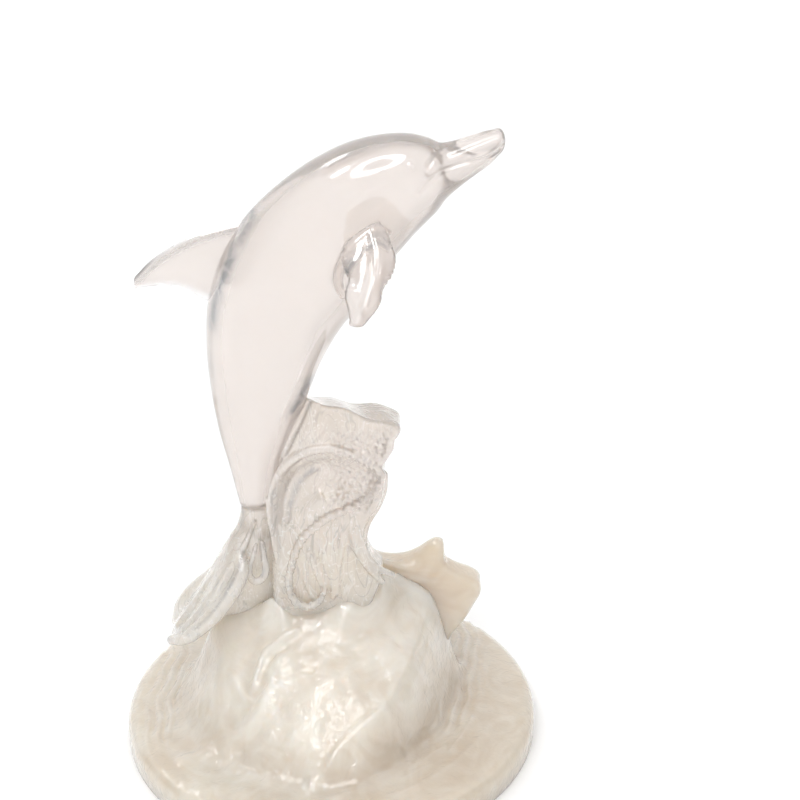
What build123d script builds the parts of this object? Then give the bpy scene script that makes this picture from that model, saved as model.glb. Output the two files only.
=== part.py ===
"""Leaping-dolphin figurine in crystal glass: a clear dolphin springing out of a satin-frosted wave.

Millimetres, +Z up. The origin is the centre of the foot's underside, where the figurine stands.
The dolphin faces +X and XZ is its mirror plane, so its right flank looks towards -Y.
Each gather of glass is its own solid. Two gathers meet on one shared face: the later one is cut
to the skin of the earlier one, as a piece of glass that is applied hot or bonded sits on its
neighbour.
"""

import os
from math import cos, pi, sin

from build123d import *

# Foot
FOOT_RADIUS = 50.6
FOOT_RIM_HEIGHT = 7.0
FOOT_EDGE = FOOT_RADIUS - 1.8  # where the rounded rim starts and ends
POOL_CROWN = 10.5  # height of the pool under the mound
RECESS_RADIUS = 44.0  # the hollow inside the ground standing ring
RECESS_DEPTH = 0.8

# Dolphin body and beak
TAIL_SEAT_HEIGHT = 62.0
SPINE = [(-17.7, TAIL_SEAT_HEIGHT), (-15.9, 83), (-12.2, 103), (-3.2, 121.5), (9.6, 135), (26, 145)]
BODY_BREADTH = 0.80  # of the body's depth
BODY_STATIONS = [  # share of the spine, half depth
    (0.00, 3.5),
    (0.12, 6.0),
    (0.26, 10.4),
    (0.42, 13.8),
    (0.58, 15.8),
    (0.72, 15.2),
    (0.84, 12.6),
    (0.93, 9.2),
    (0.98, 5.6),
]
BEAK_AXIS = [(10.0, 131.5), (36.8, 148.1)]
BEAK_BREADTH = 1.05  # of the beak's depth
BEAK_STATIONS = [(0.0, 9.6), (0.25, 9.0), (0.45, 7.5), (0.65, 5.3), (0.82, 3.9), (1.0, 2.6)]  # share, half depth
BEAK_TIP_RADIUS = 3.3

# Blades: each station is a leading point, a trailing point and a half thickness
DORSAL_CHORDS = [
    ((-12, 0, 131.5), (-19, 0, 109.5), 2.9),
    ((-24, 0, 128.6), (-28, 0, 114.0), 2.3),
    ((-33, 0, 125.0), (-34.5, 0, 116.0), 1.8),
    ((-39.5, 0, 120.2), (-39.8, 0, 115.4), 1.2),
    ((-42.4, 0, 116.6), (-42.3, 0, 115.4), 0.6),
]
FLIPPER_CHORDS = [  # of the right flipper; the left one mirrors it
    ((12.5, -6, 131.5), (2.0, -7, 122.5), 2.4),
    ((16.0, -11.5, 128.0), (4.0, -12, 120.0), 2.1),
    ((15.4, -14.5, 121.5), (5.4, -14.8, 116.5), 1.7),
    ((12.0, -16.4, 116.4), (6.6, -16.5, 113.7), 1.2),
    ((9.4, -17.0, 113.6), (7.4, -17.1, 112.7), 0.6),
]
FLIPPER_FACE = (-0.42, -0.76, 0.49)  # the way a flipper's broad side looks
FLUKE_CHORDS = [  # from the tip of the right fluke, past the notch, to the tip of the left one
    ((-38.2, -14.5, 33.6), (-36.8, -14.5, 31.6), 0.8),
    ((-36.5, -11.5, 37.5), (-32.5, -11.5, 32.5), 1.7),
    ((-33, -6, 42.5), (-26, -6, 35), 2.6),
    ((-29, 0, 43.5), (-21, 0, 36), 3.2),
    ((-33, 6, 38.5), (-27, 6, 31.5), 2.6),
    ((-37.5, 11, 31.5), (-34, 11, 26.5), 1.7),
    ((-39.0, 13.5, 26.5), (-37.8, 13.5, 24.5), 0.8),
]
FLUKE_FACE = (-0.6, 0, 0.8)
STOCK_AXIS = [(-17.7, TAIL_SEAT_HEIGHT + 2.5), (-18.8, 54.5), (-25.5, 41)]
STOCK_STATIONS = [(0.0, 4.4, 3.7), (0.4, 5.2, 4.6), (1.0, 5.5, 7.0)]  # share, half depth, half breadth

# Mound of the base: fluted sections that turn as they rise, like swirling water
MOUND_STATIONS = [  # height, centre x, centre y, half width, half depth
    (5, -2.0, -4.0, 42.0, 37.0),
    (14, -2.5, -3.0, 37.5, 29.0),
    (24, -3.0, -1.0, 33.5, 22.0),
    (33, -3.0, 1.0, 28.5, 16.5),
    (40, -2.5, 2.0, 21.5, 13.0),
    (46, -2.0, 2.0, 14.5, 10.0),
]
FLUTES = 5
FLUTE_DEPTH = 0.05  # of the section's radius
FLUTE_TURN = 0.03  # radians per millimetre of height
POINTS_PER_FLUTE = 4

# Breaker and rear wave: one side profile each, drawn from its foot and scaled in each slice
CREST_FOOT = 36.0
CREST_TOP = [(-6.5, 52.8), (5, 51.8), (14, 50.6), (17.5, 48.0)]
CREST_FRONT = [(17.5, 48.0), (15.6, 42.5), (13.6, 36.5), (13.8, 30.5), (11.2, 24), (9.2, 18), (9.6, 12), (12.5, 7.0)]
CREST_BACK = [(12.5, 7.0), (8.5, 0), (-9.5, 0), (-9.5, 14), (-13.0, 24), (-17, 27), (-6.5, 52.8)]
CREST_SLICES = [(-9.0, 0.86), (-5.0, 0.96), (0.0, 1.0), (4.0, 0.97), (7.5, 0.90)]  # y, scale
HOLLOW_CENTRE = (3.5, -21.0, 66.0)  # of the ball that scoops the hollow under the breaker's lip
HOLLOW_RADIUS = 16.5
REAR_FOOT = 9.0
REAR_TOP = [(4, 36), (13, 30.0), (19.5, 31.0), (24, 34.0), (26.2, 34.6)]
REAR_LIP = [(26.2, 34.6), (27.5, 31.0), (32, 27.4), (36.9, 24.0)]
REAR_FALL = [(36.9, 24.0), (37.2, 21.0), (31, 12), (30, 0)]
REAR_SLICES = [(4.0, 0.90), (9.0, 0.99), (13.0, 1.0), (19.0, 0.88)]

os.makedirs("parts", exist_ok=True)


def finish(builder, name):
    """Labels a finished piece and writes its STEP file."""
    builder.part.label = name
    export_step(builder.part, f"parts/{name}.step")


def section_plane(line, share):
    """The plane across a line at a share of its length, with its local X along the frame's Y."""
    return Plane(origin=line @ share, x_dir=(0, 1, 0), z_dir=line % share)


def slice_plane(y, foot):
    """An upright plane at y that looks towards -Y, with its local origin at a foot's height."""
    return Plane(origin=(0, y, foot), x_dir=(1, 0, 0), z_dir=(0, -1, 0))


def chord_plane(leading, trailing, face):
    """The plane of a blade's section: local Y runs along the chord, local X through the blade."""
    chord = Vector(leading) - Vector(trailing)
    along_blade = Vector(face).cross(chord)
    middle = (Vector(leading) + Vector(trailing)) * 0.5
    return Plane(origin=middle, x_dir=chord.cross(along_blade), z_dir=along_blade)


def blade_sections(chords, face):
    """One lens-shaped section for each chord of a blade, in the order a loft takes them."""
    sections = []
    for leading, trailing, half_thickness in chords:
        half_chord = (Vector(leading) - Vector(trailing)).length / 2
        with BuildSketch(chord_plane(leading, trailing, face)) as section:
            Ellipse(half_thickness, half_chord)
        sections.append(section.sketch)
    return sections


def fluted_points(x, y, half_width, half_depth, turn):
    """Points round an oval whose radius swells and dips FLUTES times."""
    points = []
    count = FLUTES * POINTS_PER_FLUTE
    for index in range(count):
        angle = 2 * pi * index / count
        swell = 1 + FLUTE_DEPTH * cos(FLUTES * (angle - turn))
        points.append((x + half_width * swell * cos(angle), y + half_depth * swell * sin(angle)))
    return points


# The dolphin's body: one loft from the tail seat to the melon, one for the beak
with BuildLine(Plane.XZ) as spine:
    Spline(*SPINE)

with BuildLine(Plane.XZ) as beak_axis:
    Line(*BEAK_AXIS)

with BuildPart() as dolphin_body:
    for share, half_depth in BODY_STATIONS:
        with BuildSketch(section_plane(spine.line, share)):
            Ellipse(half_depth * BODY_BREADTH, half_depth)
    loft()
    for share, half_depth in BEAK_STATIONS:
        with BuildSketch(section_plane(beak_axis.line, share)):
            Ellipse(half_depth * BEAK_BREADTH, half_depth)
    loft()
    with Locations(beak_axis.line @ 1):
        Sphere(BEAK_TIP_RADIUS)
finish(dolphin_body, "dolphin_body")

# Fin and flippers, seated on the body's skin
with BuildPart() as dorsal_fin:
    loft(blade_sections(DORSAL_CHORDS, (0, 1, 0)))
    add(dolphin_body.part, mode=Mode.SUBTRACT)
finish(dorsal_fin, "dorsal_fin")

with BuildPart() as right_flipper:
    loft(blade_sections(FLIPPER_CHORDS, FLIPPER_FACE))
    add(dolphin_body.part, mode=Mode.SUBTRACT)
finish(right_flipper, "right_flipper")

with BuildPart() as left_flipper:
    mirror(right_flipper.part, about=Plane.XZ)
finish(left_flipper, "left_flipper")

# The base: a round foot with a ground standing ring, and the mound of water on it
with BuildPart() as wave_base:
    with BuildSketch(Plane.XZ):
        with BuildLine():
            Line((0, 0), (FOOT_EDGE, 0))
            ThreePointArc((FOOT_EDGE, 0), (FOOT_RADIUS, FOOT_RIM_HEIGHT / 2), (FOOT_EDGE, FOOT_RIM_HEIGHT))
            Spline((FOOT_EDGE, FOOT_RIM_HEIGHT), (0, POOL_CROWN), tangents=[(-1, 0.25), (-1, 0)])
            Line((0, POOL_CROWN), (0, 0))
        make_face()
    revolve(axis=Axis.Z)
    for height, x, y, half_width, half_depth in MOUND_STATIONS:
        with BuildSketch(Plane.XY.offset(height)):
            with BuildLine():
                Spline(*fluted_points(x, y, half_width, half_depth, FLUTE_TURN * height), periodic=True)
            make_face()
    loft()
    with Locations((0, 0, 0)):
        Cylinder(RECESS_RADIUS, 2 * RECESS_DEPTH, mode=Mode.SUBTRACT)
finish(wave_base, "wave_base")

# The breaker: it stands on the mound, and the dolphin's belly leans on it
with BuildPart() as wave_crest:
    for y, share in CREST_SLICES:
        with BuildSketch(slice_plane(y, CREST_FOOT)):
            with BuildLine():
                Spline(*CREST_TOP)
                Spline(*CREST_FRONT)
                Polyline(*CREST_BACK)
            make_face()
            scale(by=share)
    loft()
    with Locations(HOLLOW_CENTRE):
        Sphere(HOLLOW_RADIUS, mode=Mode.SUBTRACT)
    add(wave_base.part, mode=Mode.SUBTRACT)
    add(dolphin_body.part, mode=Mode.SUBTRACT)
finish(wave_crest, "wave_crest")

# The low wave behind, with its pointed lip
with BuildPart() as rear_wave:
    for y, share in REAR_SLICES:
        with BuildSketch(slice_plane(y, REAR_FOOT)):
            with BuildLine():
                Spline(*REAR_TOP)
                Spline(*REAR_LIP)
                Spline(*REAR_FALL)
                Polyline(REAR_FALL[-1], (REAR_TOP[0][0], 0), REAR_TOP[0])
            make_face()
            scale(by=share)
    loft()
    add(wave_base.part, mode=Mode.SUBTRACT)
    add(wave_crest.part, mode=Mode.SUBTRACT)
finish(rear_wave, "rear_wave")

# The tail: a stock that cups the body's end, and two flukes laid on the mound
with BuildLine(Plane.XZ) as stock_axis:
    Spline(*STOCK_AXIS)

with BuildPart() as tail_flukes:
    for share, half_depth, half_breadth in STOCK_STATIONS:
        with BuildSketch(section_plane(stock_axis.line, share)):
            Ellipse(half_breadth, half_depth)
    loft()
    loft(blade_sections(FLUKE_CHORDS, FLUKE_FACE))
    add(dolphin_body.part, mode=Mode.SUBTRACT)
    add(wave_base.part, mode=Mode.SUBTRACT)
    add(wave_crest.part, mode=Mode.SUBTRACT)
finish(tail_flukes, "tail_flukes")
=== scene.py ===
"""The looks of the crystal figurine: a clear dolphin leaping from a satin-frosted breaking wave.

Shapes are worked out in millimetres in the CAD frame (+Z up, origin at the centre of the foot's
underside, beak towards +X, right flank towards -Y) and turned into metres when a mesh is made.
The trunk and the dorsal fin are lofted from rings. Everything that flows, such as the flippers,
the tail and the water, is sculpted as a signed distance: limbs are melted together or carved
away, and one mesh is drawn over the surface where the distance is zero.
"""

import math

import bpy
import numpy as np
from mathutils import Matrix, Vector


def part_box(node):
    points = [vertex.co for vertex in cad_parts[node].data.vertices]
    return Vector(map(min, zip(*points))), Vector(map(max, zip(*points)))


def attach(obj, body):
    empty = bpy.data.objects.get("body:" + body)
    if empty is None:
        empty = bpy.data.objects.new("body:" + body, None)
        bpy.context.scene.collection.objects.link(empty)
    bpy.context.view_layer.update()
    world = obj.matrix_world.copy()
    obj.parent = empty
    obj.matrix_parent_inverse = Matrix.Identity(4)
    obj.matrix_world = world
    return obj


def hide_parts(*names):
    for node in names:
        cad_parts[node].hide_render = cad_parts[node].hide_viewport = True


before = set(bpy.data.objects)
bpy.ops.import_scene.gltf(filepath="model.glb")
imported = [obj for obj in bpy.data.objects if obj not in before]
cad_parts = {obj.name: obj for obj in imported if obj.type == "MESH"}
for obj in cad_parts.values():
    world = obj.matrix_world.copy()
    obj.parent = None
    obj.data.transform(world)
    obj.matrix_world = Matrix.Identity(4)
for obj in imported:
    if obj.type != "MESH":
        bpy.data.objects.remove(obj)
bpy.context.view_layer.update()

MM = 0.001
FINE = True
QUICK_CELLS = 1.6
FAR_OFF = 1e9  # more than any distance here, or than its square


def node_box(cad_node):
    """Lowest and highest corner of a CAD node, in millimetres."""
    low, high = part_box(cad_node)
    return np.array(low) / MM, np.array(high) / MM


FOOT_LOW, FOOT_HIGH = node_box("wave_base")
FOOT_RADIUS = (FOOT_HIGH[0] - FOOT_LOW[0]) / 2

# ------------------------------------------------------------
# Dolphin: matched points of its back and its belly in the XZ plane, and the half breadth there

BODY_STATIONS = [  # back x, back z, belly x, belly z, half breadth
    (-20.9, 62.4, -14.2, 61.9, 2.8),
    (-22.6, 71, -12, 70, 4.4),
    (-24.9, 82, -8.3, 79.6, 6.8),
    (-26.2, 93, -4.4, 88.8, 9),
    (-26.5, 103.5, -0.9, 97.9, 10.7),
    (-25.5, 113.5, 3.2, 105.4, 12),
    (-22.6, 122.9, 7.2, 110.9, 12.8),
    (-17, 131.5, 11.2, 116.9, 12.7),
    (-9.8, 138.6, 14.6, 121.6, 12),
    (-1.8, 144.4, 17.8, 125.4, 11.1),
    (6.5, 148.4, 20.6, 128.7, 10),
    (13.8, 150, 23.2, 131.4, 8.8),
    (19.4, 150.1, 25.4, 133.8, 7.5),
    (23.2, 149.2, 27.1, 136.2, 6.1),
    (25.3, 148.3, 28.9, 137.9, 5.1),
    (27.8, 148.5, 30.7, 139.4, 4.4),
    (31, 149.5, 33.4, 141.5, 3.8),
    (34.6, 150.6, 36.3, 143.7, 3.3),
    (37.2, 151.2, 38.2, 145.8, 2.7),
]
BODY_RINGS, BODY_AROUND = 420, 144  # rings along the trunk, and points round each
BEAK_ROUNDING = 1.9
TAIL_ROUNDING = 1.6
MOUTH = [  # x and z of the line of the mouth
    (38.9, 148.6), (37.9, 147.3), (36, 146.2), (33.5, 145.4), (30.7, 144.9), (27.6, 144.1), (25.5, 143.4),
    (23.6, 142.2), (22.1, 141), (20.8, 139.5),
]
CREASE = [(26.6, 148.8), (25.2, 147.4), (23.9, 146.2), (22.9, 144.8)]  # between the brow and the beak
MOUTH_DEPTH = 0.42
MOUTH_WIDTH = 0.42
CREASE_DEPTH = 0.5
CREASE_WIDTH = 0.6
# Painted shade: dark lines drawn where the fin and the crest meet the trunk, where refraction darkens the
# glass
FIN_SEAM = [(-15.0, 133.6), (-18.3, 126.9), (-20.2, 122.8), (-21.4, 119.4), (-23.2, 114.4), (-24.4, 108.7)]
FIN_SEAM_WIDTH = 1.2
CREST_SEAM = [(-3.0, 95.0), (-4.8, 91.8), (-7.2, 87.4)]
CREST_SEAM_WIDTH = 1.4
EYE = (19.2, 145.3)
EYE_RADIUS = 0.55
EYE_HEIGHT = 0.13
LID_RADIUS = 1.35 * EYE_RADIUS  # a groove round the eye, its depth a share of the eye's height
LID_WIDTH = 0.3
LID_DEPTH = 0.8

FIN_STATIONS = [  # leading x, leading z, trailing x, trailing z, half thickness
    (-17.2, 131, -24.4, 112, 2.9),
    (-19.6, 130.3, -26, 112.6, 2.6),
    (-24, 129, -28.6, 114, 2.25),
    (-28.8, 127.3, -32, 115.5, 1.95),
    (-34, 124.6, -35.6, 116.1, 1.6),
    (-38.2, 121.6, -38.8, 115.8, 1.25),
    (-41.1, 118.6, -41.3, 115.5, 0.85),
]
FIN_RINGS, FIN_AROUND = 90, 72
FIN_ROOT_ROUNDING, FIN_TIP_ROUNDING = 0.6, 0.9
FIN_LINE_INSET, FIN_LINE_WIDTH, FIN_LINE_SHADE = 1.3, 0.6, 0.35  # a faint line of painted shade inside the leading edge, where refraction darkens it

# Limbs: centre x, y, z, half width vector x, y, z, half thickness
FLIPPER_BLADE = [
    (9.4, -9.8, 132.6, 3.6, -0.4, 1.4, 1.2),
    (9.8, -12, 130.2, 5, -0.4, 1.2, 1.5),
    (10.4, -14.4, 127.4, 5.7, -0.3, 0.8, 1.6),
    (10.3, -16.8, 124.4, 5.6, -0.2, 0.4, 1.5),
    (9.5, -19, 121.4, 4.7, 0, 0, 1.3),
    (8.8, -21, 118.2, 3.4, 0, -0.2, 1),
    (8, -22.4, 115.8, 1.7, 0, -0.1, 0.8),
]
FLIPPER_SPINE = [  # x, y, z, radius of the blade's rounded ridge
    (11.2, -11.2, 132, 0.9), (12.3, -14.4, 128.6, 1.3), (12.2, -17, 125.6, 1.4),
    (11.2, -19.4, 122.4, 1.2), (9.8, -21.6, 119.2, 0.9),
]
FLIPPER_GAP = 0.1  # between a flipper and the trunk's skin
FLIPPER_RIM = [  # x, y, z, radius of the raised rim at the flipper's root
    (4.9, -12.4, 118.4, 0.9),
    (3.9, -12.6, 120.9, 1.15),
    (4.5, -12.6, 125, 1.2),
    (6.6, -12.2, 128.6, 1.15),
    (9.3, -11.5, 131, 1.05),
    (12.3, -10.6, 132.7, 0.9),
    (14.6, -10.4, 131.6, 0.75),
]
# Painted shade: a dark band in the groove inside the flipper's rim, where refraction darkens the glass
FLIPPER_SEAM = [(5.2, 120.6), (5.6, 124.0), (7.4, 127.0), (10.0, 129.4), (12.8, 130.9), (14.4, 129.8)]
FLIPPER_SEAM_WIDTH, FLIPPER_SEAM_SHADE = 0.55, 0.9
FLIPPER_BLENDS = (1.2, 0.6, 0.3)  # where the spine and the rim melt in, and at the cut along the trunk
FLIPPER_CELL = 0.32
FLIPPER_MARGINS = (8, 5)  # how far its sculpting box goes past the CAD's, below and above


def spline(points, count, measure=slice(0, 3)):
    """Count rows along a smooth curve through the given rows.

    Measure picks the columns that the length along the curve is taken from.
    """
    points = np.array(points, float)
    gaps = np.linalg.norm(np.diff(points[:, measure], axis=0), axis=1)
    knots = np.concatenate([[0.0], np.cumsum(gaps)])
    slopes = np.gradient(points, knots, axis=0)
    at = np.linspace(0, knots[-1], count)
    left = np.clip(np.searchsorted(knots, at) - 1, 0, len(knots) - 2)
    span = (knots[left + 1] - knots[left])[:, None]
    u = (at - knots[left])[:, None] / span
    return (
        points[left] * (2 * u**3 - 3 * u**2 + 1)
        + slopes[left] * span * (u**3 - 2 * u**2 + u)
        + points[left + 1] * (3 * u**2 - 2 * u**3)
        + slopes[left + 1] * span * (u**3 - u**2)
    )


def ramp(values, start, end):
    """0 at start, 1 at end, and smooth between them."""
    t = np.clip((values - start) / (end - start), 0, 1)
    return t * t * (3 - 2 * t)


def new_piece(cad_node, vertices, faces, material, frost=0.0, warmth=0.0, painted_shade=0.0):
    """Makes a smooth-shaded mesh from points in millimetres, standing for a CAD node.

    Frost says how satin each vertex is, from 0 for clear crystal to 1 for the frosted water, and warmth
    how far its colour goes from milky to honey. The painted shade value greys the seams, grooves and dents
    where the glass shows dark lines from refraction.
    """
    name = cad_node + "_glass"
    mesh = bpy.data.meshes.new(name)
    mesh.from_pydata((np.asarray(vertices) * MM).tolist(), [], faces)
    mesh.validate()
    mesh.polygons.foreach_set("use_smooth", [True] * len(mesh.polygons))
    for label, values in (("frost", frost), ("warmth", warmth), ("painted_shade", painted_shade)):
        attribute = mesh.attributes.new(label, "FLOAT", "POINT")
        attribute.data.foreach_set("value", np.broadcast_to(values, len(vertices)).astype(np.float32))
    piece = bpy.data.objects.new(name, mesh)
    bpy.context.scene.collection.objects.link(piece)
    mesh.materials.append(material)
    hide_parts(cad_node)
    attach(piece, "root")


def ring_faces(rings, around):
    """Quads between neighbouring rings, and fans to a pole before the first ring and after the last."""
    faces = []
    first_pole, last_pole = rings * around, rings * around + 1
    for k in range(around):
        n = (k + 1) % around
        faces.append((first_pole, n, k))
        for r in range(rings - 1):
            a, b = r * around, (r + 1) * around
            faces.append((a + k, a + n, b + n, b + k))
        last = (rings - 1) * around
        faces.append((last + k, last + n, last_pole))
    return faces


CAP_RINGS = 10  # rings in each rounded end


def loft(stations, count, around, first_rounding, last_rounding):
    """Rings with rounded ends through stations of (edge x, z, other edge x, z, half breadth)."""
    s = np.array(stations, float)
    centres = (s[:, 0:2] + s[:, 2:4]) / 2
    halves = (s[:, 0:2] - s[:, 2:4]) / 2
    rows = spline(np.hstack([centres, halves, s[:, 4:5]]), count, slice(0, 2))
    first_axis = rows[0, 0:2] - rows[1, 0:2]
    last_axis = rows[-1, 0:2] - rows[-2, 0:2]
    first_axis /= np.linalg.norm(first_axis)
    last_axis /= np.linalg.norm(last_axis)
    turns = np.linspace(0, math.pi / 2, CAP_RINGS + 2)[1:-1]
    caps = [[], []]
    ends = ((rows[0], first_axis, first_rounding), (rows[-1], last_axis, last_rounding))
    for cap, (row, axis, rounding) in zip(caps, ends):
        for turn in turns:
            ring = row * math.cos(turn)
            ring[0:2] = row[0:2] + axis * rounding * math.sin(turn)
            cap.append(ring)
    rows = np.vstack([caps[0][::-1], rows, caps[1]])
    angles = np.linspace(0, 2 * math.pi, around, endpoint=False)
    side, width = np.cos(angles), np.sin(angles)
    rings = np.zeros((len(rows), around, 3))
    rings[:, :, 0] = rows[:, 0:1] + rows[:, 2:3] * side
    rings[:, :, 2] = rows[:, 1:2] + rows[:, 3:4] * side
    rings[:, :, 1] = -rows[:, 4:5] * width
    poles = np.zeros((2, 3))
    poles[0, [0, 2]] = rows[CAP_RINGS, 0:2] + first_axis * first_rounding
    poles[1, [0, 2]] = rows[-CAP_RINGS - 1, 0:2] + last_axis * last_rounding
    return np.vstack([rings.reshape(-1, 3), poles]), ring_faces(len(rows), around)


def path_distance(points, path):
    """Distance of each point to a polyline of the same dimension."""
    best = np.full(len(points), FAR_OFF)
    for a, b in zip(path[:-1], path[1:]):
        ab = b - a
        t = np.clip(((points - a) @ ab) / (ab @ ab), 0, 1)
        best = np.minimum(best, np.linalg.norm(points - a - t[:, None] * ab, axis=1))
    return best


def line_on(points, path, width):
    """1 at points that lie on a smooth line when seen from the side (x and z), fading over the width."""
    distance = path_distance(points[:, [0, 2]], spline(path, 40, slice(0, 2)))
    return np.exp(-((distance / width) ** 2))


# ------------------------------------------------------------
# Signed distances

LIMB_MARGIN = 6.0  # beyond this a limb's distance is only estimated from its box


def limb(stations, count=24):
    """A function giving the distance to a limb that bends smoothly through stations.

    A station is (x, y, z, radius), or (x, y, z, half width vector x, y, z, half thickness) for a flat limb.
    """
    rows = np.array(stations, float)
    flat = rows.shape[1] == 7
    rows = spline(rows, count)
    reach = np.linalg.norm(rows[:, 3:6], axis=1) if flat else rows[:, 3]
    low = (rows[:, :3] - reach[:, None]).min(0)
    high = (rows[:, :3] + reach[:, None]).max(0)

    def distance(points):
        far = np.linalg.norm(np.maximum(np.maximum(low - points, points - high), 0), axis=1)
        result = far + LIMB_MARGIN
        near = np.flatnonzero(far < LIMB_MARGIN)
        p = points[near]
        best = np.full(len(p), FAR_OFF)
        segment = np.zeros(len(p), int)
        share = np.zeros(len(p))
        for i in range(len(rows) - 1):
            a = rows[i, :3]
            ab = rows[i + 1, :3] - a
            t = np.clip(((p - a) @ ab) / (ab @ ab), 0, 1)
            d = ((p - a - t[:, None] * ab) ** 2).sum(1)
            closer = d < best
            best[closer] = d[closer]
            segment[closer] = i
            share[closer] = t[closer]
        row = rows[segment] * (1 - share[:, None]) + rows[segment + 1] * share[:, None]
        offset = p - row[:, :3]
        if flat:
            half_width = np.linalg.norm(row[:, 3:6], axis=1)
            across = (offset * row[:, 3:6]).sum(1) / half_width
            rest = np.sqrt(np.maximum((offset**2).sum(1) - across**2, 0))
            thickness = row[:, 6]
            result[near] = (np.sqrt((across / half_width) ** 2 + (rest / thickness) ** 2) - 1) * thickness
        else:
            result[near] = np.linalg.norm(offset, axis=1) - row[:, 3]
        return result

    return distance


def melt(a, b, blend):
    """Union of two distances with a fillet of about the blend's size."""
    h = np.clip(0.5 + 0.5 * (b - a) / blend, 0, 1)
    return b + (a - b) * h - blend * h * (1 - h)


def carve(a, b, blend):
    """The first distance with the second carved out of it, its edge eased by the blend."""
    return -melt(-a, b, blend)


def lattice(low, high, cell):
    """Axes of a grid that covers a box with two spare cells on each side."""
    return [np.arange(low[i] - 2 * cell, high[i] + 2.5 * cell, cell) for i in range(3)]


def grid_points(axes):
    """All points of a grid, one to a row."""
    return np.stack(np.meshgrid(*axes, indexing="ij"), -1).reshape(-1, 3)


def resample(values, axes, finer):
    """Linear resampling of a coarse grid on finer axes."""
    for k in range(3):
        pos = np.clip(np.searchsorted(axes[k], finer[k]) - 1, 0, len(axes[k]) - 2)
        t = np.clip((finer[k] - axes[k][pos]) / (axes[k][pos + 1] - axes[k][pos]), 0, 1)
        shape = [1, 1, 1]
        shape[k] = len(t)
        t = t.reshape(shape)
        values = np.take(values, pos, axis=k) * (1 - t) + np.take(values, pos + 1, axis=k) * t
    return values


def largest_part(vertices, faces):
    """The mesh without the specks that are not joined to its largest part."""
    part = np.arange(len(vertices))
    while True:
        lower = part.copy()
        np.minimum.at(lower, faces, part[faces].min(1, keepdims=True))
        lower = lower[lower]
        if np.array_equal(lower, part):
            break
        part = lower
    kept = part == np.bincount(part).argmax()
    renumbered = np.cumsum(kept) - 1
    return vertices[kept], renumbered[faces[kept[faces[:, 0]]]]


COARSE = 4  # cells of the fine grid to one of the first look
NEAR = 2.2  # coarse cells from the surface within which the field is worked out on the fine grid
SETTLE_ROUNDS = 3  # moves of the vertices onto the surface, none longer than this share of a cell:
LONGEST_MOVE = 0.5
SLOPE_STEP = 0.25  # and the step in cells that the field's slope is taken over
LEAST_SLOPE = 0.05  # squared, so that no move runs away


def sculpt(field, low, high, cell):
    """Vertices and quads of the surface where a distance field is zero."""
    if not FINE:
        cell = cell * QUICK_CELLS
    axes = lattice(low, high, cell)
    wide = [np.arange(a[0], a[-1] + COARSE * cell, COARSE * cell) for a in axes]
    coarse = field(grid_points(wide)).reshape([len(a) for a in wide])
    values = resample(coarse, wide, axes)
    near = np.abs(values) < NEAR * COARSE * cell
    mesh = np.stack(np.meshgrid(*axes, indexing="ij"), -1)
    values[near] = field(mesh[near])
    inside = values < 0
    cells = np.zeros([len(a) - 1 for a in axes], int)
    total = np.zeros(cells.shape + (3,))
    crossings = np.zeros(cells.shape)
    corner = [slice(None, -1), slice(1, None)]
    for k in range(3):
        for i in (0, 1):
            for j in (0, 1):
                start = [corner[i], corner[i], corner[i]]
                start[(k + 1) % 3], start[(k + 2) % 3], start[k] = corner[i], corner[j], corner[0]
                stop = list(start)
                stop[k] = corner[1]
                va, vb = values[tuple(start)], values[tuple(stop)]
                cut = (va < 0) != (vb < 0)
                t = np.where(cut, va / np.where(cut, va - vb, 1), 0)
                point = np.zeros(cells.shape + (3,))
                point[..., (k + 1) % 3] = i
                point[..., (k + 2) % 3] = j
                point[..., k] = t
                total += point * cut[..., None]
                crossings += cut
    active = crossings > 0
    index = np.full(cells.shape, -1)
    index[active] = np.arange(active.sum())
    origin = np.array([a[0] for a in axes])
    where = np.argwhere(active)
    vertices = origin + (where + total[active] / crossings[active][:, None]) * cell
    faces = []
    for k in range(3):
        p, q = (k + 1) % 3, (k + 2) % 3
        start = [slice(1, -1)] * 3
        stop = [slice(1, -1)] * 3
        start[k], stop[k] = slice(0, -1), slice(1, None)
        va, vb = inside[tuple(start)], inside[tuple(stop)]
        edges = np.argwhere(va != vb)
        edges[:, p] += 1
        edges[:, q] += 1
        outward = va[va != vb]
        quad = []
        for dp, dq in ((1, 1), (0, 1), (0, 0), (1, 0)):
            c = edges.copy()
            c[:, p] -= dp
            c[:, q] -= dq
            quad.append(index[tuple(c.T)])
        quad = np.stack(quad, 1)
        quad[~outward] = quad[~outward][:, ::-1]
        faces.append(quad)
    vertices, faces = largest_part(vertices, np.vstack(faces))
    step = cell * SLOPE_STEP
    for _ in range(SETTLE_ROUNDS):
        slope = np.stack([
            field(vertices + step * axis) - field(vertices - step * axis) for axis in np.eye(3)
        ], 1) / (2 * step)
        length = np.maximum((slope**2).sum(1), LEAST_SLOPE)
        move = -field(vertices)[:, None] * slope / length[:, None]
        size = np.linalg.norm(move, axis=1, keepdims=True)
        vertices = vertices + move * np.minimum(1, LONGEST_MOVE * cell / np.maximum(size, 1e-9))
    return vertices, faces.tolist()


# ------------------------------------------------------------
# Materials

def feed(tree, socket, value):
    """Links an input to a value that comes from another node, or sets it to a plain one."""
    if isinstance(value, bpy.types.NodeSocket):
        tree.links.new(value, socket)
    else:
        socket.default_value = value


def node(tree, kind, **settings):
    """A shader node with its settings; a setting that names an input feeds it."""
    made = tree.nodes.new(kind)
    for key, value in settings.items():
        name = key.replace("_", " ")
        if name in made.inputs:
            feed(tree, made.inputs[name], value)
        else:
            setattr(made, key, value)
    return made


def mix_value(tree, factor, low, high):
    """A value that goes from low to high with the factor."""
    return node(tree, "ShaderNodeMapRange", Value=factor, To_Min=low, To_Max=high).outputs["Result"]


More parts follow.
